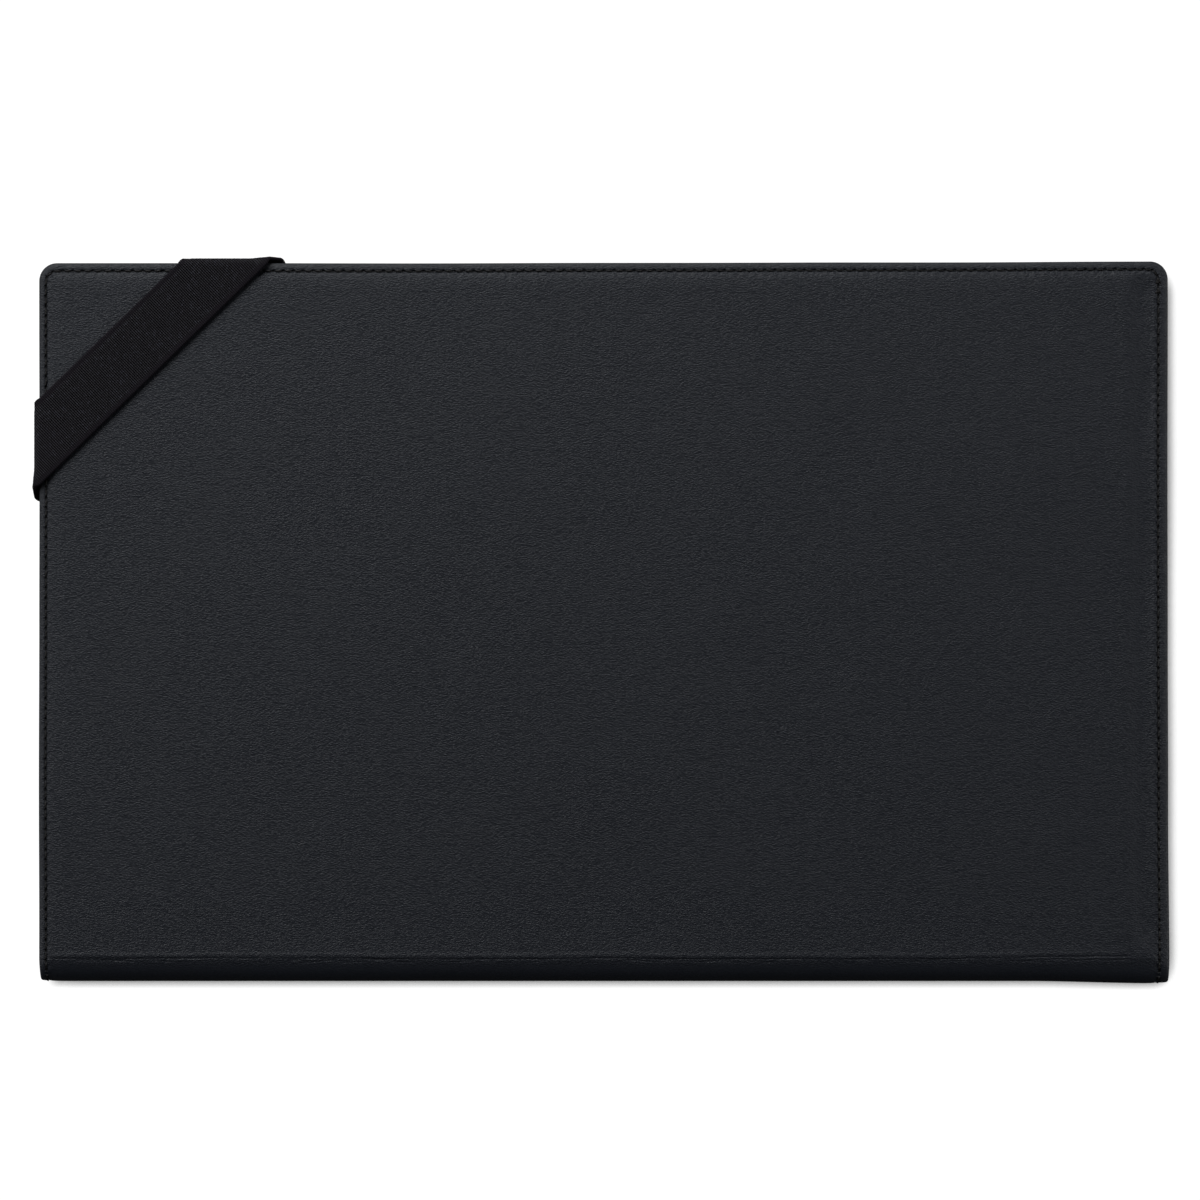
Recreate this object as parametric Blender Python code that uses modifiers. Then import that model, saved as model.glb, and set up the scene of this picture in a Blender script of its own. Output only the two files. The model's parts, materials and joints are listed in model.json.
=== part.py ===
"""Leather notebook cover, closed and empty, with an elastic band over one corner.

The long side runs along X, the spine is on -Y, the opening (the fore edge) is on +Y and
the thickness is along Z. The origin is the middle of the back cover's outer face. The head
end is -X and the tail end is +X. All lengths are in metres.
"""
import math

import bmesh
import bpy
from mathutils import Vector

# Driving sizes of the closed cover
LENGTH = 0.220              # head edge to tail edge
WIDTH = 0.140               # outside of the spine to the fore edge
SPINE_ROLL = 0.0048         # how far the spine stands out past the two creases
CORNER_RADIUS = 0.0032      # fore-edge corners

# Thickness of each layer, from the outside in
LEATHER = 0.0009
PADDING = 0.0005
BOARD = 0.0010
LINING = 0.00035
SLEEVE = 0.0004
LAYER_GAP = 0.0001          # play between one layer and the next
PAGE_GAP = 0.0010           # space left between the two sleeves when closed
CREASE_GAP = 0.0003         # the leather's pieces stand this far apart at each fold

# Turned edge, seam and sleeves
RIM = 0.0026                # width of the turned edge round each panel
RIM_ROUND = 0.0006          # rounding of the turned edge
EDGE_SET_BACK = 0.0003      # lining and sleeve stop this far inside the leather's edge
SEAM_INSET = 0.0014         # seam line to outer edge
THREAD_RADIUS = 0.0002
GROOVE_RADIUS = 0.00035     # channel that the seam has pulled into the leather
SEAM_STOP = 0.003           # the seam's last hole stands this far from the crease
NEEDLE_HOLE = 0.0004        # radius
BOARD_PLAY = 0.0003         # board to turned edge
BOARD_TO_CREASE = 0.0012
TAIL_SLACK = 0.0054         # the boards are this much shorter than their pockets
SLEEVE_DEPTH = 0.075        # how far a sleeve reaches in from the fore edge
HEM_INSET = 0.0025          # hem stitching to the sleeve's mouth

# Elastic band
BAND_WIDTH = 0.0122
BAND_THICKNESS = 0.0008
BAND_REACH = 0.0252         # corner of the cover to the band's middle line, square to it
BAND_ANGLE = math.radians(44.2)
BAND_TUCK = 0.0010          # each end reaches this far in from the edge, up to the seam
BAND_STEEPER = 0.6          # beside the edge the band slants this much less than on top
BAND_CLEARANCE = 0.0002     # band to the cover's side edge

# Levels under a panel's outer face, worked out layer by layer
PADDING_TOP = LEATHER + LAYER_GAP
BOARD_TOP = PADDING_TOP + PADDING + LAYER_GAP
RIM_DEPTH = BOARD_TOP + BOARD
LINING_TOP = RIM_DEPTH + LAYER_GAP
SLEEVE_TOP = LINING_TOP + LINING + LAYER_GAP
PANEL_DEPTH = SLEEVE_TOP + SLEEVE
THICKNESS = 2 * PANEL_DEPTH + PAGE_GAP

# Places worked out from the driving sizes
HEAD = -LENGTH / 2
TAIL = LENGTH / 2
FORE = WIDTH / 2
SPINE = -WIDTH / 2
CREASE = SPINE + SPINE_ROLL
PANEL_START = CREASE + CREASE_GAP / 2
ROLL_START = CREASE - CREASE_GAP / 2

# The band's middle surface: on top of the cover, round a bend of BAND_BEND radius, down
# the front cover's side, round a second bend and in between the two sleeves
BAND_OUTSIDE = BAND_CLEARANCE + BAND_THICKNESS / 2
BAND_BEND = BAND_OUTSIDE + RIM_ROUND / 2
BAND_ARC = math.pi / 2 * BAND_BEND
BAND_LEVEL = THICKNESS + LAYER_GAP + BAND_THICKNESS / 2
TUCK_LEVEL = THICKNESS / 2
BAND_DROP = BAND_LEVEL - TUCK_LEVEL - 2 * BAND_BEND
BAND_JOIN = BAND_ARC + BAND_DROP / 2
BAND_LAST = 2 * BAND_ARC + BAND_DROP + BAND_TUCK - (BAND_BEND - BAND_OUTSIDE)

ROUND_STEPS = 6             # segments in a rounded corner
ROLL_STEPS = 12             # segments in each half of the spine's roll
BAND_STEPS = 12             # segments in each of the band's three runs
OVERCUT = 0.002             # cutters run this far past the faces that they open

# Base colour, roughness and metallic value of each material
FINISHES = {
    "black_leather": ((0.018, 0.020, 0.024), 0.55, 0.0),
    "grey_foam": ((0.080, 0.080, 0.085), 0.95, 0.0),
    "grey_board": ((0.230, 0.215, 0.190), 0.90, 0.0),
    "black_lining": ((0.014, 0.014, 0.017), 0.85, 0.0),
    "black_thread": ((0.010, 0.010, 0.012), 0.60, 0.0),
    "black_elastic": ((0.013, 0.012, 0.016), 0.80, 0.0),
}


def clear_scene():
    """Remove whatever the file starts with."""
    for item in list(bpy.data.objects):
        bpy.data.objects.remove(item, do_unlink=True)


def new_collection(name):
    """A collection linked under the scene's own."""
    group = bpy.data.collections.new(name)
    bpy.context.scene.collection.children.link(group)
    return group


def new_material(name):
    """A Principled material with the finish listed for it."""
    colour, roughness, metallic = FINISHES[name]
    material = bpy.data.materials.new(name)
    material.use_nodes = True
    shader = material.node_tree.nodes["Principled BSDF"]
    shader.inputs["Base Color"].default_value = (*colour, 1.0)
    shader.inputs["Roughness"].default_value = roughness
    shader.inputs["Metallic"].default_value = metallic
    return material


clear_scene()
PARTS = new_collection("leather_notebook_cover")
CUTTERS = new_collection("cutters")
MATERIALS = {name: new_material(name) for name in FINISHES}


def place(item, group, material=None, parent=None):
    """Link an object, give it its material and hang it on its hinge without moving it."""
    group.objects.link(item)
    if material:
        item.data.materials.append(MATERIALS[material])
    if parent:
        item.parent = parent
        item.matrix_parent_inverse = parent.matrix_world.inverted()
    return item


def as_cutter(item):
    """Mark an object as a cutter."""
    item.hide_render = True
    item.display_type = "WIRE"
    return item


def pivot(name, at, parent=None):
    """An empty on a joint's axis, which carries the pieces that the joint moves."""
    empty = bpy.data.objects.new(name, None)
    empty.location = at
    place(empty, PARTS)
    bpy.context.view_layer.update()
    if parent:
        empty.parent = parent
        empty.matrix_parent_inverse = parent.matrix_world.inverted()
        bpy.context.view_layer.update()
    return empty


def mesh_object(name, shape, at):
    """An object whose mesh is a finished bmesh, standing at a point."""
    mesh = bpy.data.meshes.new(name)
    shape.to_mesh(mesh)
    shape.free()
    item = bpy.data.objects.new(name, mesh)
    item.location = at
    return item


def sheet(name, low, high, corner=0.0):
    """A flat sheet between two opposite corners, its two fore-edge corners rounded."""
    low, high = Vector(low), Vector(high)
    shape = bmesh.new()
    bmesh.ops.create_cube(shape, size=1.0)
    bmesh.ops.scale(shape, vec=high - low, verts=shape.verts)
    if corner:
        upright = [
            edge
            for edge in shape.edges
            if all(vert.co.y > 0 for vert in edge.verts)
            and edge.verts[0].co.x == edge.verts[1].co.x
        ]
        bmesh.ops.bevel(
            shape,
            geom=upright,
            offset=corner,
            segments=ROUND_STEPS,
            profile=0.5,
            affect="EDGES",
        )
    return mesh_object(name, shape, (low + high) / 2)


def round_edges(item, width, segments):
    """Round an object's sharp edges."""
    bevel = item.modifiers.new("round_edges", "BEVEL")
    bevel.width = width
    bevel.segments = segments
    bevel.limit_method = "ANGLE"
    bevel.angle_limit = math.radians(50)


def cut(item, *cutters):
    """Take each cutter's shape out of an object."""
    for cutter in cutters:
        boolean = item.modifiers.new("cut_" + cutter.name, "BOOLEAN")
        boolean.operation = "DIFFERENCE"
        boolean.solver = "EXACT"
        boolean.object = cutter


def poly_curve(name, points, closed):
    """A curve of straight steps through a list of points."""
    curve = bpy.data.curves.new(name, "CURVE")
    curve.dimensions = "3D"
    line = curve.splines.new("POLY")
    line.points.add(len(points) - 1)
    for point, at in zip(line.points, points):
        point.co = (*at, 1.0)
    line.use_cyclic_u = closed
    return curve


def cord(name, points, radius, closed=False):
    """A round cord along a list of points."""
    curve = poly_curve(name, points, closed)
    curve.bevel_depth = radius
    curve.bevel_resolution = 2
    curve.use_fill_caps = not closed
    return bpy.data.objects.new(name, curve)


def solid_from(guide, name, merge):
    """Turn a curve object into a closed mesh object in the same place."""
    CUTTERS.objects.link(guide)
    bpy.context.view_layer.update()
    graph = bpy.context.evaluated_depsgraph_get()
    mesh = bpy.data.meshes.new_from_object(guide.evaluated_get(graph))
    shape = bmesh.new()
    shape.from_mesh(mesh)
    bmesh.ops.remove_doubles(shape, verts=shape.verts, dist=merge)
    bmesh.ops.recalc_face_normals(shape, faces=shape.faces)
    shape.to_mesh(mesh)
    shape.free()
    item = bpy.data.objects.new(name, mesh)
    item.matrix_world = guide.matrix_world
    bpy.data.objects.remove(guide, do_unlink=True)
    return item


def cord_cutter(name, points, radius):
    """A cord to cut a channel with."""
    solid = solid_from(cord(name + "_guide", points, radius), name, radius / 100)
    return as_cutter(place(solid, CUTTERS))


def hole_cutter(name, at):
    """A needle hole right through a panel, along Z."""
    shape = bmesh.new()
    bmesh.ops.create_cone(
        shape,
        cap_ends=True,
        segments=12,
        radius1=NEEDLE_HOLE,
        radius2=NEEDLE_HOLE,
        depth=2 * THICKNESS,
    )
    return as_cutter(place(mesh_object(name, shape, at), CUTTERS))


class Side:
    """One panel's own directions: where its outer face is and which way is inward."""

    def __init__(self, name, outer, inward, parent):
        self.name = name
        self.outer = outer
        self.inward = inward
        self.parent = parent

    def level(self, depth):
        """Z of a plane at some depth under the panel's outer face."""
        return self.outer + self.inward * depth

    def sheet(self, suffix, x, y, depth, corner, material=None):
        """A flat layer of this panel, or a cutter where no material is given."""
        levels = sorted(self.level(d) for d in depth)
        low = (x[0], y[0], levels[0])
        high = (x[1], y[1], levels[1])
        item = sheet(f"{self.name}_{suffix}", low, high, corner)
        if material:
            return place(item, PARTS, material, self.parent)
        return as_cutter(place(item, CUTTERS))


def seam_line(z, start):
    """Points along the seam: up the head edge, along the fore edge, down the tail edge."""
    x = TAIL - SEAM_INSET
    bend = CORNER_RADIUS - SEAM_INSET
    points = [(-x, start, z)]
    for centre_x, first in ((HEAD + CORNER_RADIUS, 180), (TAIL - CORNER_RADIUS, 90)):
        for step in range(ROUND_STEPS + 1):
            angle = math.radians(first - 90 * step / ROUND_STEPS)
            across = centre_x + bend * math.cos(angle)
            along = FORE - CORNER_RADIUS + bend * math.sin(angle)
            points.append((across, along, z))
    points.append((x, start, z))
    return points


def needle_holes(side):
    """Cutters for the seam's first and last holes."""
    y = PANEL_START + SEAM_STOP
    return [
        hole_cutter(f"{side.name}_needle_hole_{end}", (x, y, THICKNESS / 2))
        for end, x in (("head", HEAD + SEAM_INSET), ("tail", TAIL - SEAM_INSET))
    ]


def build_leather(side, holes):
    """The outer leather: a thin panel with a turned edge standing on three sides of it."""
    leather = side.sheet(
        "leather",
        (HEAD, TAIL),
        (PANEL_START, FORE),
        (0, RIM_DEPTH),
        CORNER_RADIUS,
        "black_leather",
    )
    round_edges(leather, RIM_ROUND, 3)
    pocket = side.sheet(
        "pocket",
        (HEAD + RIM, TAIL - RIM),
        (PANEL_START - OVERCUT, FORE - RIM),
        (LEATHER, RIM_DEPTH + OVERCUT),
        CORNER_RADIUS / 2,
    )
    groove = cord_cutter(
        f"{side.name}_groove",
        seam_line(side.level(THREAD_RADIUS), PANEL_START - OVERCUT),
        GROOVE_RADIUS,
    )
    cut(leather, pocket, groove, *holes)


def build_stiffening(side):
    """The foam and the board in the pocket between the leather and the lining."""
    x = (HEAD + RIM + BOARD_PLAY, TAIL - RIM - TAIL_SLACK)
    y = (CREASE + BOARD_TO_CREASE, FORE - RIM - BOARD_PLAY)
    padding = (PADDING_TOP, PADDING_TOP + PADDING)
    board = (BOARD_TOP, BOARD_TOP + BOARD)
    corner = CORNER_RADIUS / 2
    side.sheet("padding", x, y, padding, corner, "grey_foam")
    side.sheet("board", x, y, board, corner, "grey_board")


def build_lining(side, holes):
    """The cloth on the panel's inner face."""
    lining = side.sheet(
        "lining",
        (HEAD + EDGE_SET_BACK, TAIL - EDGE_SET_BACK),
        (PANEL_START, FORE - EDGE_SET_BACK),
        (LINING_TOP, LINING_TOP + LINING),
        CORNER_RADIUS - EDGE_SET_BACK,
        "black_lining",
    )
    cut(lining, *holes)


def build_sleeve(side):
    """The flap that takes one cover of the notebook, and the stitching of its mouth."""
    mouth = FORE - EDGE_SET_BACK - SLEEVE_DEPTH
    side.sheet(
        "sleeve",
        (HEAD + EDGE_SET_BACK, TAIL - EDGE_SET_BACK),
        (mouth, FORE - EDGE_SET_BACK),
        (SLEEVE_TOP, PANEL_DEPTH),
        CORNER_RADIUS - EDGE_SET_BACK,
        "black_lining",
    )
    reach = TAIL - SEAM_INSET - 4 * THREAD_RADIUS
    z = side.level(PANEL_DEPTH + LAYER_GAP / 2 + THREAD_RADIUS)
    y = mouth + HEM_INSET
    hem = cord(f"{side.name}_hem_thread", [(-reach, y, z), (reach, y, z)], THREAD_RADIUS)
    place(hem, PARTS, "black_thread", side.parent)


def build_seam_thread(side):
    """One loop of thread: over the outer face, through a needle hole and back inside."""
    start = PANEL_START + SEAM_STOP
    outside = seam_line(side.level(THREAD_RADIUS + LAYER_GAP / 2), start)
    inside = seam_line(side.level(PANEL_DEPTH + LAYER_GAP / 2 + THREAD_RADIUS), start)
    loop = outside + inside[::-1]
    thread = cord(f"{side.name}_seam_thread", loop, THREAD_RADIUS, closed=True)
    place(thread, PARTS, "black_thread", side.parent)


def build_panel(side):
    """Every layer of one cover."""
    holes = needle_holes(side)
    build_leather(side, holes)
    build_stiffening(side)
    build_lining(side, holes)
    build_sleeve(side)
    build_seam_thread(side)


def roll_line(side, inset):
    """(y, z) points round one half of the spine, from the crease to the middle fold.

    The roll is half an ellipse, and the line runs inset under its outer face.
    """
    reach = ROLL_START - SPINE - inset
    rise = THICKNESS / 2 - inset
    return quarter_ellipse(side, reach, rise)


def quarter_ellipse(side, reach, rise):
    """(y, z) points on an ellipse about the roll's middle, stopping short of the fold."""
    last = math.acos(CREASE_GAP / 2 / rise)
    points = []
    for step in range(ROLL_STEPS + 1):
        angle = last * step / ROLL_STEPS
        y = ROLL_START - reach * math.sin(angle)
        z = side.level(THICKNESS / 2 - rise * math.cos(angle))
        points.append((y, z))
    return points


def roll_strip(name, outside, inside, length, material, parent):
    """A strip bent round half the spine: its section lies in YZ and is extruded in X."""
    section = outside + inside[::-1]
    curve = bpy.data.curves.new(name, "CURVE")
    curve.dimensions = "2D"
    curve.fill_mode = "BOTH"
    curve.extrude = length / 2
    line = curve.splines.new("POLY")
    line.points.add(len(section) - 1)
    for point, (y, z) in zip(line.points, section):
        point.co = (y - CREASE, z, 0.0, 1.0)
    line.use_cyclic_u = True
    guide = bpy.data.objects.new(name + "_guide", curve)
    guide.location = (0, CREASE, 0)
    guide.rotation_euler = (math.radians(90), 0, math.radians(90))
    item = solid_from(guide, name, CREASE_GAP / 100)
    return place(item, PARTS, material, parent)


def build_roll(side, parent):
    """Half of the spine: leather, lining and a seam at each end."""
    leather = roll_strip(
        f"spine_leather_{side.name}",
        roll_line(side, 0.0),
        roll_line(side, LEATHER),
        LENGTH,
        "black_leather",
        parent,
    )
    reach = ROLL_START - SPINE - LEATHER - 2 * LAYER_GAP
    rise = THICKNESS / 2 - LINING_TOP
    roll_strip(
        f"spine_lining_{side.name}",
        quarter_ellipse(side, reach, rise),
        quarter_ellipse(side, reach - LINING, rise - LINING),
        LENGTH - 2 * EDGE_SET_BACK,
        "black_lining",
        parent,
    )
    run = roll_line(side, THREAD_RADIUS + LAYER_GAP / 2)
    channel = roll_line(side, THREAD_RADIUS)
    before = (channel[0][0] + OVERCUT, channel[0][1])
    beyond = (channel[-1][0], channel[-1][1] + side.inward * OVERCUT)
    channel = [before, *channel, beyond]
    for end, x in (("head", HEAD + SEAM_INSET), ("tail", TAIL - SEAM_INSET)):
        groove = cord_cutter(
            f"spine_groove_{end}_{side.name}", [(x, y, z) for y, z in channel], GROOVE_RADIUS
        )
        cut(leather, groove)
        thread = cord(
            f"spine_thread_{end}_{side.name}", [(x, y, z) for y, z in run], THREAD_RADIUS
        )
        place(thread, PARTS, "black_thread", parent)


def wrap(past):
    """Where the band's middle surface is once it has run past the start of its first bend.

    Returns how far inside the cover's edge it is (negative outside) and its level.
    """
    bend_inset = BAND_BEND - BAND_OUTSIDE
    if past < BAND_ARC:
        angle = past / BAND_BEND
        inset = bend_inset - BAND_BEND * math.sin(angle)
        return inset, BAND_LEVEL - BAND_BEND * (1 - math.cos(angle))
    past -= BAND_ARC
    if past < BAND_DROP:
        return -BAND_OUTSIDE, BAND_LEVEL - BAND_BEND - past
    past -= BAND_DROP
    if past < BAND_ARC:
        angle = past / BAND_BEND
        inset = bend_inset - BAND_BEND * math.cos(angle)
        return inset, TUCK_LEVEL + BAND_BEND * (1 - math.sin(angle))
    return bend_inset + past - BAND_ARC, TUCK_LEVEL


def head_point(reach, past):
    """A point of the band at the head edge. reach is its line's distance to the corner."""
    inset, z = wrap(past)
    y = FORE - reach / math.cos(BAND_ANGLE) - past * BAND_STEEPER * math.tan(BAND_ANGLE)
    return Vector((HEAD + inset, y, z))


def fore_point(reach, past):
    """A point of the band at the fore edge."""
    inset, z = wrap(past)
    x = HEAD + reach / math.sin(BAND_ANGLE) + past * BAND_STEEPER / math.tan(BAND_ANGLE)
    return Vector((x, FORE - inset, z))


def loop_point(reach, part):
    """A point of the moving band: a third on the head side, a third on top, a third on
    the fore side, as part goes from 0 to 1."""
    run = 3 * part
    if run < 1:
        return head_point(reach, BAND_JOIN * (1 - run))
    if run > 2:
        return fore_point(reach, BAND_JOIN * (run - 2))
    return head_point(reach, 0.0).lerp(fore_point(reach, 0.0), run - 1)


def sewn_end(edge_point):
    """The run of the band that is fixed to the back cover, below the moving part."""
    first = BAND_JOIN + LAYER_GAP
    return lambda reach, part: edge_point(reach, first + part * (BAND_LAST - first))


def strip(name, point_at, steps):
    """A closed strip of elastic: a grid bent by a function and then given its thickness."""
    shape = bmesh.new()
    bmesh.ops.create_grid(shape, x_segments=steps, y_segments=2, size=0.5)
    for vert in shape.verts:
        reach = BAND_REACH - BAND_WIDTH * vert.co.y
        vert.co = point_at(reach, vert.co.x + 0.5)
    bmesh.ops.recalc_face_normals(shape, faces=shape.faces)
    item = mesh_object(name, shape, (0, 0, 0))
    solid = item.modifiers.new("thickness", "SOLIDIFY")
    solid.thickness = BAND_THICKNESS
    solid.offset = 0.0
    return item


def build_band(parent):
    """The elastic over the corner, and its two ends sewn to the back cover's inner edge."""
    band = strip("elastic_band", loop_point, 3 * BAND_STEPS)
    place(band, PARTS, "black_elastic", parent)
    for end, edge_point in (("head", head_point), ("fore", fore_point)):
        sewn = strip(f"band_end_{end}", sewn_end(edge_point), BAND_STEPS)
        place(sewn, PARTS, "black_elastic")


def build_cover():
    """The whole cover, with an empty on each joint's axis."""
    back_crease = pivot("back_crease_axis", (0, CREASE, 0))
    spine_fold = pivot("spine_fold_axis", (0, SPINE, THICKNESS / 2), back_crease)
    front_crease = pivot("front_crease_axis", (0, CREASE, THICKNESS), spine_fold)
    band_slide = pivot("band_slide_axis", (HEAD, FORE, BAND_LEVEL))
    back = Side("back", 0.0, 1, None)
    front = Side("front", THICKNESS, -1, front_crease)
    build_panel(back)
    build_panel(front)
    build_roll(back, back_crease)
    build_roll(front, spine_fold)
    build_band(band_slide)


build_cover()
for part in PARTS.objects:
    if part.type == "MESH":
        part.data.shade_smooth()
        part.data.set_sharp_from_angle(angle=math.radians(35))
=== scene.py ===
"""Leather notebook cover with an elastic band over one corner: the visual model.

Shapes are worked out in millimetres and turned into metres when a mesh is made. Each cover
is built in its own frame, in which the outer face lies at depth 0, the inner layers lie
deeper, and `along` runs over the outer face from the fore edge, across the panel, over the
crease and round the spine's roll. The front cover is the same shape turned upside down.
"""
import json
import math

import bmesh
import bpy
import numpy as np
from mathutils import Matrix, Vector


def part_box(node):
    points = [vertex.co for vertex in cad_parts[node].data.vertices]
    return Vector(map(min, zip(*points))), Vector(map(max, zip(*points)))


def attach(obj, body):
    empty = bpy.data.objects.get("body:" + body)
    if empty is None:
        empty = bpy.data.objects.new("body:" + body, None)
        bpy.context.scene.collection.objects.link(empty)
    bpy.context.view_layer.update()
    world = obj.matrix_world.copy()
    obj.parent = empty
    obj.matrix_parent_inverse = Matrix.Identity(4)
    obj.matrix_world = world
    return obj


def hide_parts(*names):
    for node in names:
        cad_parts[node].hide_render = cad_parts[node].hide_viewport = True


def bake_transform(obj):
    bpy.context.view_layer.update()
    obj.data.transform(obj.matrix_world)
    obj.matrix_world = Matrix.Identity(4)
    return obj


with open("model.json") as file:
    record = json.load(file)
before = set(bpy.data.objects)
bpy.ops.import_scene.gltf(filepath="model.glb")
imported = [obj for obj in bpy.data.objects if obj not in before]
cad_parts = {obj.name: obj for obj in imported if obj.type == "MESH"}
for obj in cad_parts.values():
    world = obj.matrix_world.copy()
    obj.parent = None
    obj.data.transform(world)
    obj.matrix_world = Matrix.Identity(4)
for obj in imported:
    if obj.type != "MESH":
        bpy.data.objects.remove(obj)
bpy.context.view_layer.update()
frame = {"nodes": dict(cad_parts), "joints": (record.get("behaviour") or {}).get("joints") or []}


def box_mm(node):
    """Lowest and highest corner of a CAD node, in millimetres."""
    low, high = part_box(node)
    return low * 1000, high * 1000


def joint_mm(name):
    """A hinge's place, in millimetres."""
    places = {joint["name"]: joint.get("pos_m") for joint in frame["joints"]}
    return Vector(places[name]) * 1000


# Places and levels taken from the CAD model
LEATHER_LOW, LEATHER_HIGH = box_mm("front_leather")
HEAD, TAIL, FORE, TOP = LEATHER_LOW.x, LEATHER_HIGH.x, LEATHER_HIGH.y, LEATHER_HIGH.z
RIM_DEPTH = TOP - LEATHER_LOW.z
CREASE = joint_mm("front_crease").y
SPINE = joint_mm("spine_fold").y
MIDDLE = joint_mm("spine_fold").z
ROLL = CREASE - SPINE
BOARD_END = box_mm("front_board")[1].x
PAD_LOW, PAD_HIGH = box_mm("back_padding")
LINING_LOW, LINING_HIGH = box_mm("back_lining")
SLEEVE_LOW, SLEEVE_HIGH = box_mm("back_sleeve")
HEM_LOW, HEM_HIGH = box_mm("back_hem_thread")
THREAD_RADIUS = (HEM_HIGH.y - HEM_LOW.y) / 2
SEAM_INSET = box_mm("back_seam_thread")[0].x + THREAD_RADIUS - HEAD
EDGE_SET_BACK = LINING_LOW.x - HEAD
# How much narrower the roll gets with each millimetre of depth
INNER_SHARE = (box_mm("spine_lining_back")[0].y - SPINE) / LINING_LOW.z

# Sizes of the visible detail, in millimetres
CORNER_RADIUS = 3.5         # fore-edge corners
RIM = 4.7                   # width over which the face runs down to the seam and the edge
SKIN = 0.25                 # thickness of the leather's visible skin
TAIL_SEAM_SHIFT = 0.6       # the tail's seam stands this much further in than the head's
FORE_SEAM_SHIFT = 0.2       # and the fore edge's seam this much further than the CAD's
CREASE_BAND = 1.3           # fine rows run this far either side of the crease
CREASE_STEP = 0.12
ROLL_STEP = 0.36
FORE_GAPS = 216             # half stitches along the fore edge, between the corners
SIDE_GAPS = 132             # half stitches from a corner to the crease
BAND_WIDTH = 12.2
BAND_THICKNESS = 0.7
BAND_REACH = 25.2           # corner of the cover to the band's middle line
BAND_ANGLE = math.radians(44.2)
BAND_GAP = 0.1              # band to the cover's edge
BAND_FLARE = 0.4            # its inner selvedge stands off the edge this much
BAND_STEEPER = 0.6          # beside the edge the band slants this much less than on top
RIB = 0.4                   # pitch of the band's ribs
YARN = 0.45                 # pitch of the yarns that cross them
CLOTH_PITCH = 0.42          # pitch of the lining's weave

FLAT = FORE - CREASE        # the panel's share of `along`
QUARTER = math.pi / 4       # the spine is split between pieces this far round the roll


# -------------------- numbers and noise

def smooth(value):
    """0 below 0, 1 above 1 and an S-curve between."""
    value = np.clip(value, 0.0, 1.0)
    return value * value * (3.0 - 2.0 * value)


def bell(value, width):
    """A bell curve, 1 at the middle."""
    return np.exp(-(value / width) ** 2)


def ripple(x, y, size, seed):
    """Smooth random height from -1 to 1, in bumps about `size` across."""
    knots = np.random.default_rng(seed).uniform(-1.0, 1.0, (128, 128))
    x = np.asarray(x, dtype=float) / size + 40.0
    y = np.asarray(y, dtype=float) / size + 40.0
    column, row = np.floor(x).astype(int), np.floor(y).astype(int)
    across, up = smooth(x - column), smooth(y - row)

    def knot(i, j):
        return knots[(column + i) % 128, (row + j) % 128]

    low = knot(0, 0) * (1 - across) + knot(1, 0) * across
    high = knot(0, 1) * (1 - across) + knot(1, 1) * across
    return low * (1 - up) + high * up


def smooth_line(points, steps):
    """Catmull-Rom line through the points, with a number of steps in each span."""
    points = np.array(points, dtype=float)
    ends = np.vstack([2 * points[0] - points[1], points, 2 * points[-1] - points[-2]])
    line = []
    for span, count in enumerate(steps):
        a, b, c, d = ends[span:span + 4]
        for t in np.arange(count) / count:
            line.append(0.5 * (2 * b + (c - a) * t + (2 * a - 5 * b + 4 * c - d) * t ** 2
                               + (3 * b - a - 3 * c + d) * t ** 3))
    line.append(points[-1])
    return np.array(line)


# -------------------- the cover's frame

ANGLES = np.linspace(0.0, math.pi, 721)
ROLL_PATH = np.stack([ROLL * np.sin(ANGLES), MIDDLE * np.cos(ANGLES)], axis=1)
ROLL_LENGTH = np.concatenate(
    [[0.0], np.cumsum(np.linalg.norm(np.diff(ROLL_PATH, axis=0), axis=1))])


def roll_along(angle):
    """`along` at an angle round the roll, which is 0 at the crease."""
    return FLAT + float(np.interp(angle, ANGLES, ROLL_LENGTH))


SPLIT = roll_along(QUARTER)             # `along` where the spine is split
FAR_SPLIT = roll_along(3 * QUARTER)


def section(along, depth):
    """Y and Z at a distance along the outer face and a depth under it."""
    angle = np.interp(along - FLAT, ROLL_LENGTH, ANGLES)
    round_part = CREASE - (ROLL - INNER_SHARE * depth) * np.sin(angle)
    y = np.where(along < FLAT, FORE - along, round_part)
    z = MIDDLE - (MIDDLE - depth) * np.cos(angle)
    return y, z


WANDER = 0.10               # how far the sewn edges stray from straight
HEAD_DRAWN_IN = 0.10        # the spine's head end stands this far in
TAIL_DRAWN_IN = 0.25        # and the whole tail edge this far,
TAIL_SPREAD = 0.30          # but it spreads again towards the spine
FORE_RISE = 0.28            # the fore edge stands out this far at the tail
SPINE_SAG = 0.45            # and the spine this far


def settle(x, y, seed):
    """Let the outline wander a little, as sewn leather does."""
    panel = smooth((y - CREASE) / 12.0)
    to_spine = smooth((CREASE + 0.5 - y) / ROLL)
    x = x + WANDER * ripple(y, seed, 31.0, seed) * (x / TAIL) ** 3 * panel
    x = x + HEAD_DRAWN_IN * smooth((CREASE - y) / 4.0) * np.exp((HEAD - x) / 6.0)
    outward = TAIL_SPREAD * smooth((CREASE + 30.0 - y) / 30.0) - TAIL_DRAWN_IN
    x = x + outward * np.exp((x - TAIL) / 8.0)
    rise = WANDER * ripple(x, seed, 37.0, seed + 1) + FORE_RISE * smooth((x - 15.0) / 85.0)
    y = y + rise * ((y - SPINE) / (FORE - SPINE)) ** 4
    y = y - SPINE_SAG * smooth((x - 82.0) / 26.0) * to_spine
    return x, y


def place(x, along, depth, side):
    """Points in the shared frame, from places in one cover's own frame."""
    y, z = section(along, depth)
    x, y = settle(x, y, side.seed)
    z = TOP - z if side.front else z
    return np.stack(np.broadcast_arrays(x, y, z), axis=-1)


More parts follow.
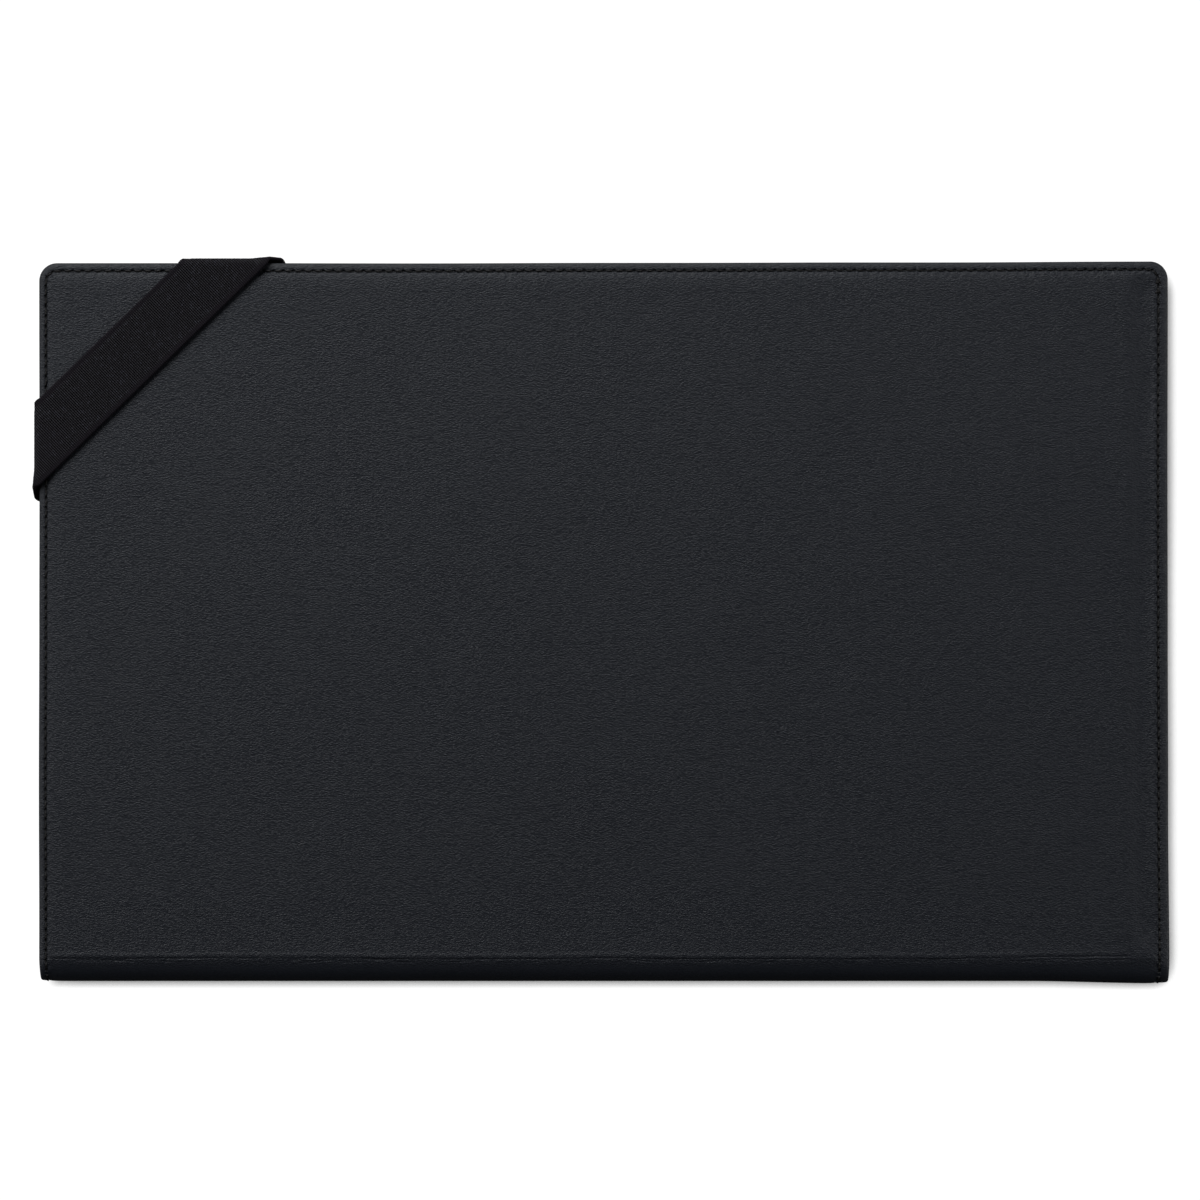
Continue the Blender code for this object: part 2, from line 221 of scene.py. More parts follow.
class Side:
    """One of the two covers."""

    def __init__(self, name, seed):
        self.name = name
        self.seed = seed
        self.front = name == "front"
        self.spine = f"spine_{name}"

    def blend(self, piece):
        """Bake the placement of a piece, from this cover's panel to its half of the spine, into
        its points.
        """
        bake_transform(piece)


BACK = Side("back", 11)
FRONT = Side("front", 23)


def blend_roll(piece):
    """Bake the placement of a piece over the middle of the spine into its points."""
    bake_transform(piece)


# -------------------- meshes

def make_piece(name, points, faces, material, uv=None, normals=None, marks=None):
    """An object from points in millimetres, with its material."""
    mesh = bpy.data.meshes.new(name)
    mesh.from_pydata((np.asarray(points) * 0.001).tolist(), [], faces)
    mesh.polygons.foreach_set("use_smooth", [True] * len(mesh.polygons))
    if uv is not None:
        layer = mesh.uv_layers.new(name="unrolled")
        corners = np.empty(len(mesh.loops), dtype=np.int32)
        mesh.loops.foreach_get("vertex_index", corners)
        layer.data.foreach_set("uv", (np.asarray(uv)[corners] * 0.001).ravel())
    for mark, values in (marks or {}).items():
        attribute = mesh.attributes.new(mark, "FLOAT", "POINT")
        attribute.data.foreach_set("value", np.asarray(values, dtype=float).ravel())
    mesh.materials.append(material)
    mesh.update()
    if normals is not None:
        mesh.normals_split_custom_set_from_vertices(normals.tolist())
    piece = bpy.data.objects.new(name, mesh)
    bpy.context.scene.collection.objects.link(piece)
    return piece


def grid_faces(rows, columns, first=0):
    """Quads of a grid of points stored row by row."""
    corner = (np.arange(rows - 1)[:, None] * columns + np.arange(columns - 1)).ravel() + first
    return np.stack([corner, corner + 1, corner + columns + 1, corner + columns], axis=1)


def rim_faces(rows, columns):
    """Quads that join the borders of two equal grids stored one after the other."""
    numbers = np.arange(rows * columns).reshape(rows, columns)
    loop = np.concatenate([numbers[0, :-1], numbers[:-1, -1], numbers[-1, :0:-1],
                           numbers[:0:-1, 0]])
    following = np.roll(loop, -1)
    under = rows * columns
    return np.stack([following, loop, loop + under, following + under], axis=1)


def shell_faces(rows, columns, flip):
    """Faces of a closed sheet: an outer grid, an inner grid and the strip between."""
    outer = grid_faces(rows, columns)
    inner = grid_faces(rows, columns, rows * columns)[:, ::-1]
    faces = np.concatenate([outer, inner, rim_faces(rows, columns)])
    return (faces[:, ::-1] if flip else faces).tolist()


def tube_faces(rings, sides, flip):
    """Faces of a tube of rings, closed at both ends."""
    numbers = np.arange(rings * sides).reshape(rings, sides)
    following = np.roll(numbers, -1, axis=1)
    faces = np.stack([numbers[:-1], following[:-1], following[1:], numbers[1:]], axis=-1)
    faces = faces.reshape(-1, 4).tolist() + [numbers[0, ::-1].tolist(), numbers[-1].tolist()]
    return [face[::-1] for face in faces] if flip else faces


def grid_normals(points):
    """Unit normals of a grid of points, from the lines through each point."""
    normals = np.cross(np.gradient(points, axis=1), np.gradient(points, axis=0))
    return normals / np.maximum(np.linalg.norm(normals, axis=2, keepdims=True), 1e-9)


def along_each_other(first, second):
    """Whether two grids of vectors mostly point the same way."""
    return np.median(np.sum(first * second, axis=-1)) > 0


def outward_normals(points, under):
    """Unit normals of a grid of points that point away from the grid under it."""
    normals = grid_normals(points)
    return normals if along_each_other(normals, points - under) else -normals


def shell(name, outer, inner, normals, material, uv, marks=None):
    """A closed sheet between two grids of points, smooth over its outer grid."""
    rows, columns = outer.shape[:2]
    flip = not along_each_other(grid_normals(outer), normals)
    points = np.concatenate([outer.reshape(-1, 3), inner.reshape(-1, 3)])
    both = np.concatenate([normals.reshape(-1, 3), -normals.reshape(-1, 3)])
    uvs = np.concatenate([uv.reshape(-1, 2)] * 2)
    doubled = {mark: np.tile(np.asarray(values).ravel(), 2)
               for mark, values in (marks or {}).items()}
    return make_piece(name, points, shell_faces(rows, columns, flip), material,
                      uvs, both, doubled)


# -------------------- materials

class Nodes:
    """A tree of shader nodes under construction."""

    def __init__(self, tree):
        self.tree = tree

    def node(self, kind, inputs=None, **settings):
        """A shader node with its settings and inputs; an input is a value or a socket."""
        item = self.tree.nodes.new("ShaderNode" + kind)
        for name, value in settings.items():
            setattr(item, name, value)
        for name, value in (inputs or {}).items():
            self.feed(item.inputs[name], value)
        return item

    def feed(self, socket, value):
        """Link or set one input."""
        if isinstance(value, bpy.types.NodeSocket):
            self.tree.links.new(value, socket)
        else:
            socket.default_value = value

    def maths(self, operation, *values):
        """The result of a Math node."""
        return self.node("Math", dict(enumerate(values)), operation=operation).outputs[0]

    def wave(self, value, pitch, kind="COSINE"):
        """A wave from -1 to 1."""
        return self.maths(kind, self.maths("MULTIPLY", value, 2 * math.pi / pitch))

    def bell(self, value, middle, width):
        """A bell curve, 1 at `middle`."""
        away = self.maths("DIVIDE", self.maths("SUBTRACT", value, middle), width)
        return self.maths("EXPONENT", self.maths("MULTIPLY", self.maths("MULTIPLY", away, away),
                                                 -1.0))

    def vectors(self, operation, *values):
        """The result of a Vector Math node."""
        return self.node("VectorMath", dict(enumerate(values)), operation=operation).outputs[0]

    def scaled(self, vector, *factors):
        """A vector multiplied axis by axis."""
        return self.vectors("MULTIPLY", vector, factors)

    def split(self, vector):
        """The X, Y and Z of a vector."""
        return self.node("SeparateXYZ", {0: vector}).outputs

    def noise(self, vector, scale=1.0, detail=2.0, roughness=0.5):
        """A noise value around 0.5."""
        return self.node("TexNoise", {"Vector": vector, "Scale": scale, "Detail": detail,
                                      "Roughness": roughness}).outputs[0]

    def unrolled(self, *factors):
        """Place on the piece laid out flat, in millimetres, or that times two factors."""
        place_mm = self.scaled(self.node("UVMap", uv_map="unrolled").outputs[0],
                               1000.0, 1000.0, 0.0)
        return self.scaled(place_mm, *factors, 0.0) if factors else place_mm

    def warped(self, vector, size, amount):
        """The same place, moved about by slow noise."""
        moved = self.node("TexNoise", {"Vector": vector, "Scale": 1 / size, "Detail": 1.0})
        offset = self.vectors("SUBTRACT", moved.outputs[1], (0.5, 0.5, 0.5))
        return self.vectors("ADD", vector, self.scaled(offset, amount, amount, 0.0))

    def mark(self, name):
        """A value stored on the mesh's points."""
        return self.node("Attribute", attribute_name=name).outputs["Fac"]

    def mix(self, factor, low, high):
        """A colour between two others."""
        item = self.node("Mix", {0: factor}, data_type="RGBA")
        for number, colour in ((6, low), (7, high)):
            self.feed(item.inputs[number],
                      (*colour, 1.0) if isinstance(colour, tuple) else colour)
        return item.outputs[2]

    def range(self, value, low, high, to_low=0.0, to_high=1.0):
        """A value carried from one range to another."""
        return self.node("MapRange", {0: value, 1: low, 2: high, 3: to_low, 4: to_high}).outputs[0]

    def bump(self, height, depth_mm, strength=1.0):
        """Relief of a given depth."""
        return self.node("Bump", {"Height": height, "Distance": depth_mm / 1000,
                                  "Strength": strength}).outputs[0]


class Look(Nodes):
    """A material under construction."""

    def __init__(self, name):
        self.material = bpy.data.materials.new(name)
        self.material.use_nodes = True
        super().__init__(self.material.node_tree)
        self.shader = self.tree.nodes["Principled BSDF"]

    def finish(self, colour, roughness, normal, specular=0.5, **extras):
        """Wire up the shader."""
        inputs = {"Base Color": colour, "Roughness": roughness, "Normal": normal,
                  "Specular IOR Level": specular}
        for name, value in (inputs | extras).items():
            self.feed(self.shader.inputs[name], value)
        return self.material


def leather_pebbles(look, size):
    """Place on the leather and its pebbles: 1 on top of a pebble, 0 in the creases between."""
    place_mm = look.unrolled(1 / size, 1 / size)
    bent = look.warped(place_mm, 1.8, 0.3)
    cells = look.node("TexVoronoi", {"Vector": look.scaled(bent, 1.9, 4.2, 0.0),
                                     "Scale": 1.0, "Smoothness": 0.15, "Randomness": 0.8},
                      feature="SMOOTH_F1")
    return bent, look.range(cells.outputs["Distance"], 0.75, 0.15)


def leather_grain(look, bent, pebbles):
    """Grain height: small pebbles with fine wrinkles on them."""
    fine = look.noise(look.scaled(bent, 3.0, 6.8, 0.0), detail=1.0, roughness=0.5)
    return look.maths("MULTIPLY_ADD", fine, 0.45, look.maths("MULTIPLY", pebbles, 0.65))


def stitch_puckers(look):
    """Leather raised between the stitches, just inside the seam."""
    near = look.bell(look.mark("inset"), SEAM_INSET + 0.5, 0.55)
    raised = look.maths("MULTIPLY", look.wave(look.mark("stitch"), 1.0), -0.2)
    return look.maths("MULTIPLY", raised, near)


def stitch_holes(look):
    """1 in the needle holes that the stitches dive into."""
    near = look.bell(look.mark("inset"), SEAM_INSET, 0.26)
    between = look.range(look.wave(look.mark("stitch"), 1.0), -0.35, -0.9)
    return look.maths("MULTIPLY", between, near)


def make_outer_leather():
    """Blue-black cowhide with a fine long grain, a little rubbed and with a painted sheen along
    the turned edge.
    """
    look = Look("outer_leather")
    bent, pebbles = leather_pebbles(look, 1.0)
    grain = leather_grain(look, bent, pebbles)
    mottle = look.noise(look.unrolled(0.05, 0.05), detail=3.0)
    colour = look.mix(mottle, (0.0078, 0.0094, 0.0136), (0.0117, 0.0139, 0.0192))
    # Painted shade: the creases between the pebbles are darker, except on the taut roll.
    colour = look.mix(look.maths("MAXIMUM", pebbles, look.mark("taut")),
                      (0.0064, 0.0077, 0.0112), colour)
    # Wear and painted sheen: the turned edge's crest is lighter in patches.
    crest = look.range(look.mark("inset"), 1.0, 0.2)
    wear_and_sheen = look.maths("MULTIPLY", crest, look.noise(look.unrolled(), 0.6, 4.0))
    colour = look.mix(look.maths("MULTIPLY", wear_and_sheen, 0.7), colour, (0.034, 0.035, 0.038))
    holes = stitch_holes(look)
    # Painted shade: the needle holes are painted near-black.
    colour = look.mix(holes, colour, (0.0006, 0.0006, 0.0006))
    rough = look.range(look.noise(look.unrolled(), 0.9, 3.0), 0.3, 0.7, 0.47, 0.58)
    normal = look.bump(grain, 0.105, look.range(look.mark("taut"), 0.0, 1.0, 1.0, 0.4))
    sewn = look.maths("MULTIPLY_ADD", holes, -1.2, stitch_puckers(look))
    puckers = look.node("Bump", {"Height": sewn, "Distance": 0.00020,
                                 "Normal": normal}).outputs[0]
    return look.finish(colour, rough, puckers,
                       specular=look.range(pebbles, 0.0, 1.0, 0.28, 0.33))


def make_sleeve_leather():
    """Matt split leather with a small even grain."""
    look = Look("sleeve_leather")
    grain = leather_grain(look, *leather_pebbles(look, 0.6))
    colour = look.mix(look.range(grain, 0.35, 0.85), (0.009, 0.009, 0.010),
                      (0.020, 0.020, 0.022))
    rough = look.range(look.noise(look.unrolled(), 0.5, 2.0), 0.3, 0.7, 0.58, 0.68)
    return look.finish(colour, rough, look.bump(grain, 0.10), specular=0.3)


def make_lining_cloth():
    """Plain-woven black lining with a soft sheen."""
    look = Look("lining_cloth")
    across, along, _ = look.split(look.warped(look.unrolled(), 9.0, 0.4))
    over = look.wave(across, CLOTH_PITCH, "SINE")
    under = look.wave(along, CLOTH_PITCH, "SINE")
    weave = look.maths("MULTIPLY_ADD", look.maths("MULTIPLY", over, under), 0.5, 0.5)
    slub = look.noise(look.unrolled(0.25, 3.0), detail=2.0)
    height = look.maths("MULTIPLY_ADD", slub, 0.5, weave)
    colour = look.mix(look.range(height, 0.2, 1.3), (0.010, 0.010, 0.012),
                      (0.026, 0.026, 0.030))
    rough = look.range(weave, 0.0, 1.0, 0.85, 0.7)
    return look.finish(colour, rough, look.bump(height, 0.05), 0.2,
                       **{"Sheen Weight": 0.04})


def make_thread():
    """Black polyester thread with a slight shine on its plies."""
    look = Look("sewing_thread")
    along, around, _ = look.split(look.unrolled())
    twist = look.maths("MULTIPLY_ADD", around, 2.0, look.maths("MULTIPLY", along, 9.0))
    fibres = look.maths("MULTIPLY_ADD", look.maths("SINE", twist), 0.5, 0.5)
    colour = look.mix(fibres, (0.0012, 0.0010, 0.0010), (0.0050, 0.0040, 0.0038))
    fuzz = look.noise(look.unrolled(4.0, 9.0), detail=3.0)
    height = look.maths("MULTIPLY_ADD", fuzz, 0.4, fibres)
    return look.finish(colour, look.range(fuzz, 0.3, 0.7, 0.45, 0.65),
                       look.bump(height, 0.03), specular=0.25)


def make_elastic():
    """Ribbed black elastic: covered rubber cords across it and plain woven selvedges."""
    look = Look("ribbed_elastic")
    along, across, _ = look.split(look.unrolled())
    ribs = look.wave(along, RIB)
    selvedge = look.range(look.maths("ABSOLUTE", across), 4.9, 5.3)
    weave = look.maths("MULTIPLY", ribs, look.wave(across, YARN))
    speck = look.node("TexVoronoi", {"Vector": look.unrolled(1.9, 2.4),
                                     "Scale": 1.0}).outputs["Color"]
    glint = look.range(look.split(speck)[0], 0.72, 1.0)
    lit = look.maths("MULTIPLY_ADD", ribs, 0.4, look.maths("MULTIPLY_ADD", weave, 0.1, 0.5))
    colour = look.mix(lit, (0.0, 0.0, 0.0), (0.0110, 0.0096, 0.0128))
    on_ribs = look.maths("MULTIPLY", glint, look.range(ribs, -0.2, 0.8))
    colour = look.mix(look.maths("MULTIPLY", on_ribs, 0.8), colour, (0.030, 0.030, 0.040))
    colour = look.mix(selvedge, colour, (0.0072, 0.0060, 0.0080))
    height = look.maths("MULTIPLY_ADD", look.noise(look.unrolled(), 5.0, 2.0), 0.8, weave)
    shine = look.maths("MULTIPLY", look.range(ribs, -0.6, 0.8, 0.0, 0.30),
                       look.range(selvedge, 0.0, 1.0, 1.0, 0.4))
    return look.finish(colour, look.range(weave, -1.0, 1.0, 0.75, 0.6),
                       look.bump(height, 0.02), specular=shine)


def make_foam():
    """Fine-celled grey foam."""
    look = Look("padding_foam")
    coords = look.node("TexCoord").outputs["Object"]
    cells = look.node("TexVoronoi", {"Vector": coords, "Scale": 2500.0}).outputs["Distance"]
    colour = look.mix(cells, (0.10, 0.10, 0.11), (0.05, 0.05, 0.055))
    return look.finish(colour, look.range(cells, 0.0, 1.0, 0.85, 0.95),
                       look.bump(cells, 0.1))


def make_board():
    """Grey bookbinder's board with recycled flecks."""
    look = Look("grey_board")
    coords = look.node("TexCoord").outputs["Object"]
    fibres = look.noise(look.scaled(coords, 300.0, 900.0, 900.0), detail=4.0)
    flecks = look.range(look.noise(coords, 1800.0, 1.0), 0.62, 0.7)
    colour = look.mix(fibres, (0.19, 0.175, 0.15), (0.27, 0.25, 0.22))
    colour = look.mix(flecks, colour, (0.08, 0.07, 0.06))
    return look.finish(colour, look.range(fibres, 0.3, 0.7, 0.8, 0.92),
                       look.bump(fibres, 0.05))


OUTER_LEATHER = make_outer_leather()
SLEEVE_LEATHER = make_sleeve_leather()
LINING_CLOTH = make_lining_cloth()
THREAD = make_thread()
ELASTIC = make_elastic()
FOAM = make_foam()
BOARD = make_board()


# -------------------- rounded grids

def round_corner(near, beyond):
    """A point on a line that follows the rounded outline `near` in from the edge.

    It lies `beyond` past the line's corner. Gives its distance from its own edge and from
    the other edge of that corner.
    """
    radius = np.maximum(CORNER_RADIUS - near, 0.0)
    turn = QUARTER * (1.0 + np.minimum(beyond / np.maximum(radius, 1e-6), 1.0))
    curved = beyond < radius
    own = np.where(curved, CORNER_RADIUS - radius * np.sin(turn), near)
    other = np.where(curved, CORNER_RADIUS - radius * np.cos(turn), near + beyond)
    return own, other


def seam_shift(near, from_edge, amount):
    """How far a line `near` in from the edge is moved in, with the edge and face left alone.

    It fades where the line has turned the corner and gone on to the next edge.
    """
    at_seam = smooth(near / 1.2) * (1.0 - smooth((near - 1.6) / 4.0))
    return amount * at_seam * (1.0 - smooth((from_edge - near) / 6.0))


def even(low, high, step):
    """Evenly spaced values from low to high, about a step apart."""
    return np.linspace(low, high, max(2, round((high - low) / step) + 1))


class Outline:
    """A grid over a cover whose outer lines follow the rounded outline.

    `insets` are the outer lines' distances from the edge; the last is where the straight
    grid starts. `half` are the straight columns' distances from the nearer end, up to the
    middle, and `rows` the straight rows' places along the outer face. Without `corners` the
    grid has only the straight rows.
    """

    def __init__(self, insets, half, rows, corners=True):
        insets = np.asarray(insets, dtype=float)
        rings = len(insets) - 1
        across = np.concatenate([insets[:-1], half])
        down = np.concatenate([insets[:-1], rows]) if corners else np.asarray(rows)
        first = 0 if corners else rings
        nearer = np.concatenate([np.arange(len(across)), np.arange(len(across) - 1)[::-1]])
        column, row = np.meshgrid(nearer, np.arange(len(down)) + first)
        ring = np.minimum(column, row)
        outer = np.minimum(ring, rings)
        near = insets[outer]
        biggest = np.maximum(column, row)
        nominal = np.where(column > row, across[column], down[row - first])
        share = (biggest - outer) / np.maximum(rings - outer, 1)
        beyond = np.where(biggest < rings, share * (insets[-1] - near), nominal - near)
        own, other = round_corner(near, beyond)
        on_fore = column > row
        straight = ring >= rings
        end = np.where(straight, across[column], np.where(on_fore, other, own))
        along = np.where(straight, down[row - first], np.where(on_fore, own, other))
        self.near = np.where(straight, np.minimum(end, along), near)
        self.along = along + seam_shift(self.near, along, FORE_SEAM_SHIFT)
        tail = np.arange(column.shape[1]) >= len(across)
        set_in = end + seam_shift(self.near, end, TAIL_SEAM_SHIFT)
        self.x = np.where(tail[None, :], TAIL - set_in, HEAD + end)
        self.ring = outer
        pitch = np.where(on_fore, FORE_PITCH, SIDE_PITCH)
        self.stitch = np.where(biggest < rings, 1.5 * share, 1.5 + (nominal - RIM) / pitch)
        self.end = end


FORE_PITCH = 2 * (TAIL - HEAD - 2 * RIM) / FORE_GAPS
SIDE_PITCH = 2 * (FLAT - CREASE_BAND - RIM) / SIDE_GAPS


# -------------------- leather

GROOVE_DEPTH = 0.53         # the seam's groove, under the face

# Inset and depth from the turned-in strip, round the edge and over the seam to the face
RIM_PROFILE = smooth_line([
    (2.4, RIM_DEPTH), (1.4, RIM_DEPTH), (0.6, RIM_DEPTH - 0.1), (0.12, 2.05), (0.0, 1.35),
    (0.14, 0.74), (0.45, 0.42), (0.85, 0.34), (SEAM_INSET - 0.26, 0.33),
    (SEAM_INSET - 0.14, 0.41), (SEAM_INSET + 0.03, GROOVE_DEPTH), (SEAM_INSET + 0.24, 0.39),
    (2.3, 0.18), (3.3, 0.05), (RIM, 0.0),
], (1, 1, 2, 2, 2, 2, 1, 1, 2, 2, 2, 2, 2, 1))
RIM_INSET, RIM_LEVEL = RIM_PROFILE.T
EDGE_LEVEL = 1.35           # depth of the outermost line of the turned edge
ROLL_DROP = 0.25            # the roll lies at most this far inside an ellipse
BOARD_STEP = 0.45           # the face sinks this much past the board's tail end
CREASE_DEPTH = 0.12
CREASE_RIDGE = 0.07         # height of the swelling beside the crease
STRANDS = 46                # short folds that branch off the crease
STRAND_DEPTH = 0.06
PUCKER = 0.03               # height of the swelling between two stitches


def board_end(x, y, seed):
    """The face sinks past the board's tail end, with slanting wrinkles."""
    past = x - BOARD_END + 0.3 * ripple(y, seed, 12.0, seed + 2)
    sink = BOARD_STEP * smooth(past / 2.6) * (1.0 - smooth((past - 4.0) / 1.8))
    ridge = -0.08 * bell(past + 0.6, 0.6)
    wrinkles = ripple((x + y) * 0.7, (x - y) * 0.2, 1.5, seed + 3)
    return sink + ridge + 0.045 * wrinkles * bell(past - 1.8, 2.4)


def crease_line(x, seed):
    """Where the crease wanders to."""
    line = 0.12 + 0.16 * ripple(x, seed, 19.0, seed + 4) + 0.07 * ripple(x, seed, 3.1, seed + 5)
    return FLAT + line - 0.35 * smooth((x - 60.0) / 40.0)


def crease_strands(x, past, seed):
    """Short folds that branch off the crease towards the spine."""
    chance = np.random.default_rng(seed + 6)
    depth = np.zeros_like(x)
    for _ in range(STRANDS):
        middle = chance.uniform(HEAD + 5.0, BOARD_END)
        length = chance.uniform(3.5, 11.0)
        start, rise = chance.uniform(0.0, 0.45), chance.uniform(0.2, 0.75)
        way = chance.choice([-1.0, 1.0])
        along_strand = (x - middle) / length * way + 0.5
        inside = np.clip(along_strand * (1.0 - along_strand) * 4.0, 0.0, 1.0)
        line = start + rise * np.clip(along_strand, 0.0, 1.0)
        depth += STRAND_DEPTH * inside * bell(past - line, 0.13)
    return np.minimum(depth, 0.10)


def spine_crease(x, along, seed):
    """The fold beside the board, softer past the board's end."""
    past = along - crease_line(x, seed)
    sharp = 1.0 - 0.9 * smooth((x - BOARD_END + 1.5) / 3.0)
    groove = CREASE_DEPTH * (0.7 + 0.5 * ripple(x, seed, 5.0, seed + 7)) * bell(past, 0.14)
    ridge = -CREASE_RIDGE * bell(past + 0.7, 0.42)
    fade = 1.0 - smooth((past - 1.6) / 1.2)
    return sharp * (groove + ridge + crease_strands(x, past, seed) * fade)


def roll_drop(along):
    """The roll starts down at once at the crease, a little inside an ellipse.

    The drop is greatest a third of the way to the middle, where 27/4 t (1 - t)^2 is 1.
    """
    angle = np.interp(along - FLAT, ROLL_LENGTH, ANGLES)
    turned = np.minimum(angle, math.pi - angle) / (math.pi / 2)
    return ROLL_DROP * 27 / 4 * turned * (1.0 - turned) ** 2


def face_relief(x, along, side):
    """How far the leather's face sinks below flat; below 0 it stands proud."""
    y = FORE - along
    panel = 1.0 - smooth((along - FLAT + 6.0) / 5.0)
    from_fore = smooth((along - 1.5) / 4.0)
    slow = 0.035 * ripple(x, y, 27.0, side.seed + 8) + 0.022 * ripple(x, y, 8.5, side.seed + 9)
    seam_side = smooth((np.minimum(x - HEAD, TAIL - x) - 1.0) / 2.0)
    folds = spine_crease(x, along, side.seed)
    flat = (slow + board_end(x, y, side.seed) * from_fore) * panel
    return flat + folds * seam_side


def pucker_height(grid):
    """The leather rises between the stitches."""
    inside = bell(grid.near - SEAM_INSET - 0.4, 0.45) + 0.8 * bell(grid.near - SEAM_INSET, 0.3)
    return -PUCKER * np.cos(2 * math.pi * grid.stitch) * inside


def leather_depth(grid, side):
    """Depth of every point of the leather's visible surface."""
    depth = RIM_LEVEL[grid.ring]
    on_face = smooth((EDGE_LEVEL - depth) / 0.8) * (RIM_LEVEL[grid.ring] < EDGE_LEVEL)
    relief = face_relief(grid.x, grid.along, side) if side else 0.0
    away = smooth((np.minimum(grid.x - HEAD, TAIL - grid.x) - 1.0) / 2.0)
    return depth + on_face * (relief + away * roll_drop(grid.along) - pucker_height(grid))


def leather_uv(grid, side):
    """Places on the leather laid out flat, continuous from the back cover to the front."""
    lengths = np.linalg.norm(np.diff(RIM_PROFILE, axis=0), axis=1)
    turned = RIM - (lengths.sum() - np.concatenate([[0.0], np.cumsum(lengths)]))
    on_ring = grid.ring < len(RIM_INSET) - 1
    flat = turned[grid.ring] - RIM_INSET[grid.ring]
    slip = np.where(on_ring, flat, 0.0)
    by_end = grid.end < grid.along
    u = grid.x + np.where(by_end, np.where(grid.x < 0, slip, -slip), 0.0)
    v = grid.along + np.where(by_end, 0.0, slip)
    whole = 2 * FLAT + ROLL_LENGTH[-1]
    return np.stack([u, whole - v if side is FRONT else v], axis=-1)


def leather_skin(name, rows, side=None):
    """The hide over one cover, or without a side over the middle of the spine.

    The last row, and the spine's first, only steer the normals, so that neighbouring pieces
    are shaded as one.
    """
    half = RIM + np.arange(FORE_GAPS // 2 + 1) * FORE_PITCH / 2
    grid = Outline(RIM_INSET, half, rows, corners=bool(side))
    depth = leather_depth(grid, side)
    points = place(grid.x, grid.along, depth, side or BACK)
    normals = outward_normals(points, place(grid.x, grid.along, depth + 0.1, side or BACK))
    keep = slice(0 if side else 1, -1)
    inset = np.where(RIM_LEVEL[grid.ring] > EDGE_LEVEL, -grid.near, grid.near)
    taut = smooth((grid.along - FLAT - 0.6) / 1.6)
    marks = {"inset": inset[keep], "stitch": grid.stitch[keep], "taut": taut[keep]}
    outer, normals = points[keep], normals[keep]
    return shell(name, outer, outer - SKIN * normals, normals, OUTER_LEATHER,
                 leather_uv(grid, side)[keep], marks)


def cover_rows():
    """Straight rows of a cover: the panel, the fine rows at the crease and the roll."""
    panel = RIM + np.arange(SIDE_GAPS + 1) * SIDE_PITCH / 2
    crease = even(FLAT - CREASE_BAND, FLAT + CREASE_BAND, CREASE_STEP)[1:]
    roll = even(FLAT + CREASE_BAND, SPLIT, ROLL_STEP)[1:]
    return np.concatenate([panel, crease, roll, [2 * roll[-1] - roll[-2]]])


def roll_rows():
    """Rows over the middle of the spine, with one to spare at either side."""
    rows = even(SPLIT, FAR_SPLIT, ROLL_STEP)
    step = rows[1] - rows[0]
    return np.concatenate([[SPLIT - step], rows, [FAR_SPLIT + step]])


for side in (BACK, FRONT):
    cover = leather_skin(f"{side.name}_cover_leather", cover_rows(), side)
    side.blend(cover)
    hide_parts(f"{side.name}_leather", f"spine_leather_{side.name}")
spine_roll = leather_skin("spine_roll_leather", roll_rows())
blend_roll(spine_roll)


# -------------------- lining and sleeves

THIN_RINGS = (EDGE_SET_BACK, 0.5, 0.9, 1.4, 2.0, 2.9, RIM)


def thin_skin(name, rows, side, levels, material):
    """A thin layer inside the cover, between two depths at every point."""
    grid = Outline(THIN_RINGS, even(RIM, TAIL, 2.2), rows, corners=bool(side))
    hidden, visible = levels(grid)
    points = place(grid.x, grid.along, visible, side or BACK)
    under = place(grid.x, grid.along, hidden, side or BACK)
    keep = slice(0 if side else 1, -1)
    uv = np.stack([grid.x, grid.along], axis=-1)
    return shell(name, points[keep], under[keep], outward_normals(points, under)[keep],
                 material, uv[keep])


def lining_levels(grid):
    """The lining lies over the board, a little slack between its seams."""
    slack = 0.05 * ripple(grid.x, grid.along, 18.0, 71) * smooth((grid.near - 2.0) / 6.0)
    slack = slack * smooth((FLAT - 8.0 - grid.along) / 8.0) * (grid.along > SLEEVE_END)
    hidden = np.full_like(grid.x, LINING_LOW.z)
    return hidden, hidden + (LINING_HIGH.z - LINING_LOW.z) + np.abs(slack)


def sleeve_levels(grid):
    """The sleeve is pulled down by its seam and doubled over at its mouth."""
    seam = 0.08 * bell(grid.near - SEAM_INSET, 0.45)
    slack = 0.06 + 0.10 * ripple(grid.x, grid.along, 24.0, grid.x.size)
    slack = slack * smooth((grid.near - 2.0) / 8.0)
    from_mouth = SLEEVE_END - grid.along
    hem = 0.16 * smooth((4.4 - from_mouth) / 0.5) * smooth(from_mouth / 0.35)
    stitched = 0.07 * bell(from_mouth - (HEM_LOW.y + THREAD_RADIUS - SLEEVE_LOW.y), 0.5)
    hidden = SLEEVE_LOW.z + np.abs(slack)
    return hidden, hidden + (SLEEVE_HIGH.z - SLEEVE_LOW.z) + hem - stitched - seam


